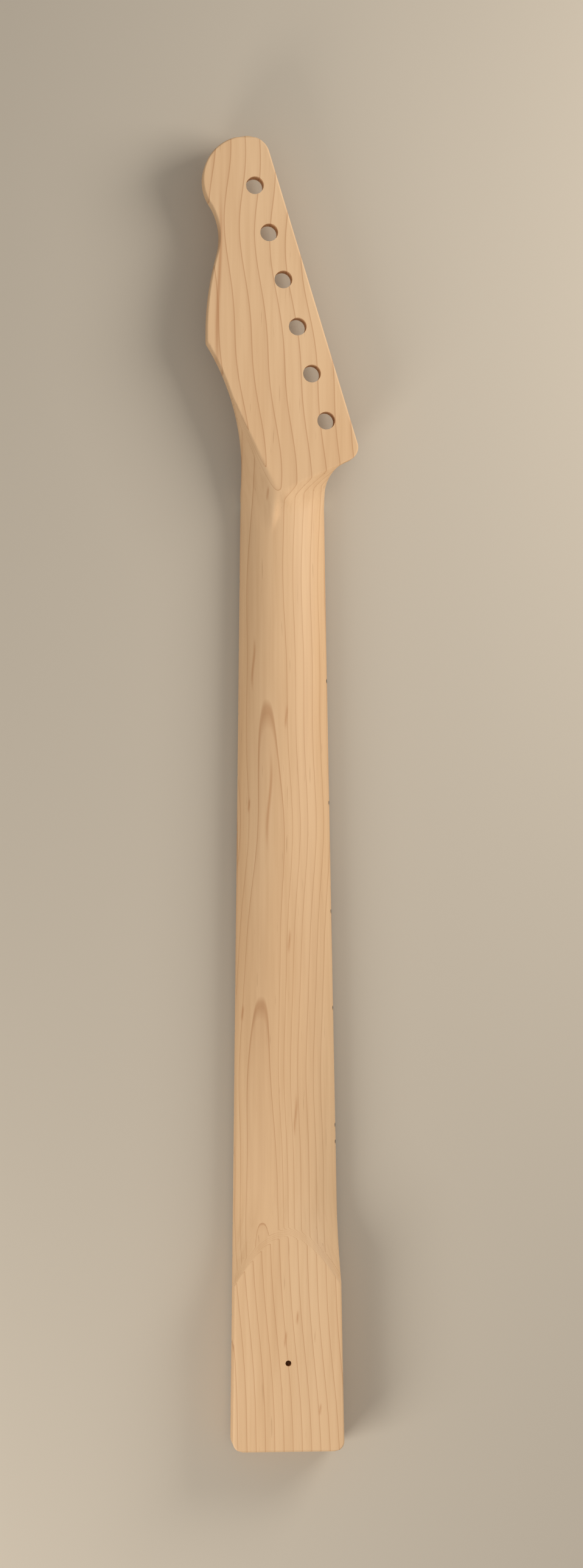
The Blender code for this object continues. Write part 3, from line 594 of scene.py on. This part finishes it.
def maple(name, rings_from_attribute):
    """Bare maple: pale cream, thin brown growth lines, fine pores and flecks drawn out along y.

    A growth line is a ramp over the fraction of the ring count, faint at first and dark just
    before the next ring. The count is the attribute, or x times a number of rings to the metre,
    and a noise shifts it a little. Pores and flecks are noises stretched along y.
    """
    material, tree, principled = shader(name, maple_roughness)
    if rings_from_attribute:
        count = node(tree, "ShaderNodeAttribute", attribute_name="rings").outputs["Fac"]
    else:
        separate = node(tree, "ShaderNodeSeparateXYZ")
        feed(tree, separate.inputs[0], node(tree, "ShaderNodeTexCoord").outputs["Object"])
        count = arithmetic(tree, "MULTIPLY", separate.outputs["X"], straight_rings_per_metre)
    wander = arithmetic(tree, "MULTIPLY", noise(tree, wander_stretch, detail=2.0), ring_wander)
    phase = arithmetic(tree, "FRACT", arithmetic(tree, "ADD", count, wander))
    line = ramp(tree, phase, [(place, grey(level)) for place, level in growth_line])

    cream = noise(tree, cream_stretch, detail=2.0)
    base = ramp(tree, cream, [(0.3, deep_cream), (0.7, pale_cream)])
    base = mix(tree, "MIX", arithmetic(tree, "MULTIPLY", line, growth_strength), base, growth_brown)
    if rings_from_attribute:
        streak = node(tree, "ShaderNodeAttribute", attribute_name="streaks").outputs["Fac"]
        streak = arithmetic(tree, "MULTIPLY", streak, mineral_strength)
        base = mix(tree, "MIX", streak, base, mineral_brown)
    pores = noise(tree, pore_stretch, detail=4.0)
    pore_shade = ramp(tree, pores, [(0.32, pore_tone), (0.6, grey(1.0))])
    base = mix(tree, "MULTIPLY", pore_strength, base, pore_shade)
    flecks = noise(tree, fleck_stretch, detail=1.0)
    fleck = ramp(tree, flecks, [(0.72, grey(0.0)), (0.80, grey(1.0))])
    base = mix(tree, "MIX", arithmetic(tree, "MULTIPLY", fleck, fleck_strength), base, fleck_brown)
    feed(tree, principled.inputs["Base Color"], base)

    smoothest = grey(maple_roughness - maple_roughness_spread)
    roughest = grey(maple_roughness + maple_roughness_spread)
    rough = ramp(tree, pores, [(0.3, smoothest), (0.7, roughest)])
    feed(tree, principled.inputs["Roughness"], rough)
    bump = node(tree, "ShaderNodeBump")
    bump.inputs["Strength"].default_value = pore_bump
    bump.inputs["Distance"].default_value = pore_bump_depth
    feed(tree, bump.inputs["Height"], pores)
    feed(tree, principled.inputs["Normal"], bump.outputs["Normal"])
    return material


neck.data.materials.clear()
neck.data.materials.append(maple("bare_maple", True))
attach(neck, "neck_body")
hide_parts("neck")


# Fretboard and truss fillet: maple from other boards, with straighter grain. The board is glued
# to the neck, slotted for the frets and sanded to its radius, and the fillet is glued into the
# rod's channel under it.
def dress(name, material):
    """Gives a CAD piece its material."""
    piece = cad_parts[name]
    piece.data.materials.clear()
    piece.data.materials.append(material)


board_wood = maple("board_maple", False)
dress("fretboard", board_wood)
dress("truss_fillet", board_wood)


# Frets: drawn nickel silver wire with a tang. Each is pressed into its slot across the board,
# its ends are filed to a slope, and its crown is polished along its length.
nickel_silver = (0.66, 0.65, 0.60)
mark_darkness = 0.86
mark_smoother = 0.06
mark_rougher = 0.08


def metal(name, colour, roughness, stretch):
    """Metal with fine marks, a noise stretched one way, in its colour and its roughness."""
    material, tree, principled = shader(name, roughness, metallic=1.0)
    marks = noise(tree, stretch)
    dark = tuple(mark_darkness * part for part in colour)
    feed(tree, principled.inputs["Base Color"], ramp(tree, marks, [(0.35, dark), (0.65, colour)]))
    smoothest = grey(roughness - mark_smoother)
    roughest = grey(roughness + mark_rougher)
    rough = ramp(tree, marks, [(0.3, smoothest), (0.7, roughest)])
    feed(tree, principled.inputs["Roughness"], rough)
    return material


fret_wire = metal("nickel_silver", nickel_silver, roughness=0.24, stretch=(60, 2500, 2500))
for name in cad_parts:
    if name.startswith("fret_"):
        dress(name, fret_wire)


# Nut: a bar of bone that stands in a slot at the board's end. It is filed to the board's radius
# and has a slot for each string.
bone_dark = (0.74, 0.69, 0.57)
bone_pale = (0.84, 0.80, 0.70)


def mottled(name, roughness, stretch, dark, pale):
    """A material whose colour goes from dark to pale over a stretched noise, and its shader."""
    material, tree, principled = shader(name, roughness)
    tone = ramp(tree, noise(tree, stretch), [(0.3, dark), (0.7, pale)])
    feed(tree, principled.inputs["Base Color"], tone)
    return material, principled


bone, bone_shader = mottled("bone", roughness=0.38, stretch=(300, 900, 900),
                            dark=bone_dark, pale=bone_pale)
bone_shader.inputs["Subsurface Weight"].default_value = 0.1
bone_shader.inputs["Subsurface Radius"].default_value = (2.0 * MM, 1.5 * MM, 1.0 * MM)
dress("nut", bone)


# Dots: short lengths of black plastic rod, glued into drilled holes in the board's face and along
# its bass side. They are sanded flush with the wood, so their faces are scratched.
dot_black = (0.012, 0.011, 0.010)
dot_grey = (0.035, 0.032, 0.030)
inlay, _ = mottled("black_inlay", roughness=0.45, stretch=(700, 700, 700),
                   dark=dot_black, pale=dot_grey)
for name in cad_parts:
    if name.startswith(("face_dot_", "side_dot_")):
        dress(name, inlay)


# Truss rod: a plain steel bar, bowed in its channel, held by an anchor near the nut. At the heel
# its turned brass nut pulls it against a steel washer.
steel_grey = (0.5, 0.5, 0.49)
brass_yellow = (0.72, 0.53, 0.25)
rod_steel = metal("rod_steel", steel_grey, roughness=0.36, stretch=(900, 40, 900))
for name in ("truss_rod", "truss_anchor", "truss_washer"):
    dress(name, rod_steel)
turned_brass = metal("turned_brass", brass_yellow, roughness=0.33, stretch=(1200, 200, 1200))
dress("truss_nut", turned_brass)


# Floor and light: a plain pale floor that reaches far past the view, a broad square lamp on each
# side of the neck and a soft sky. Lamps are placed in metres from the world's origin.
floor_reach = 60.0
floor_roughness = 0.9
floor_colour = (0.56, 0.50, 0.415)
lamp_colour = (1.0, 0.95, 0.88)
sky_colour = (1.0, 0.97, 0.93)
sky_strength = 0.36

floor_corners = [(-floor_reach, -floor_reach, 0), (floor_reach, -floor_reach, 0),
                 (floor_reach, floor_reach, 0), (-floor_reach, floor_reach, 0)]
floor_mesh = bpy.data.meshes.new("floor")
floor_mesh.from_pydata(floor_corners, [], [(0, 1, 2, 3)])
floor = bpy.data.objects.new("floor", floor_mesh)
bpy.context.scene.collection.objects.link(floor)
floor_material, _, floor_shader = shader("floor", floor_roughness)
floor_shader.inputs["Base Color"].default_value = (*floor_colour, 1.0)
floor_mesh.materials.append(floor_material)


def lamp(name, place, target, size, power):
    """A square lamp of a size and a power in watts, turned from its place to its target."""
    data = bpy.data.lights.new(name, "AREA")
    data.shape = "SQUARE"
    data.size = size
    data.energy = power
    data.color = lamp_colour
    made = bpy.data.objects.new(name, data)
    made.location = place
    aim = Vector(target) - Vector(place)
    made.rotation_euler = aim.to_track_quat("-Z", "Y").to_euler()
    bpy.context.scene.collection.objects.link(made)


lamp("lamp_bass", place=(0.56, 0.34, 0.46), target=(0.0, 0.10, 0.0), size=0.45, power=4.1)
lamp("lamp_treble", place=(-0.50, -0.62, 0.46), target=(0.0, -0.3, 0.0), size=0.40, power=3.7)
world = bpy.data.worlds.new("world")
world.use_nodes = True
sky = world.node_tree.nodes["Background"]
sky.inputs["Color"].default_value = (*sky_colour, 1.0)
sky.inputs["Strength"].default_value = sky_strength
bpy.context.scene.world = world
bpy.context.scene.view_settings.view_transform = "Standard"
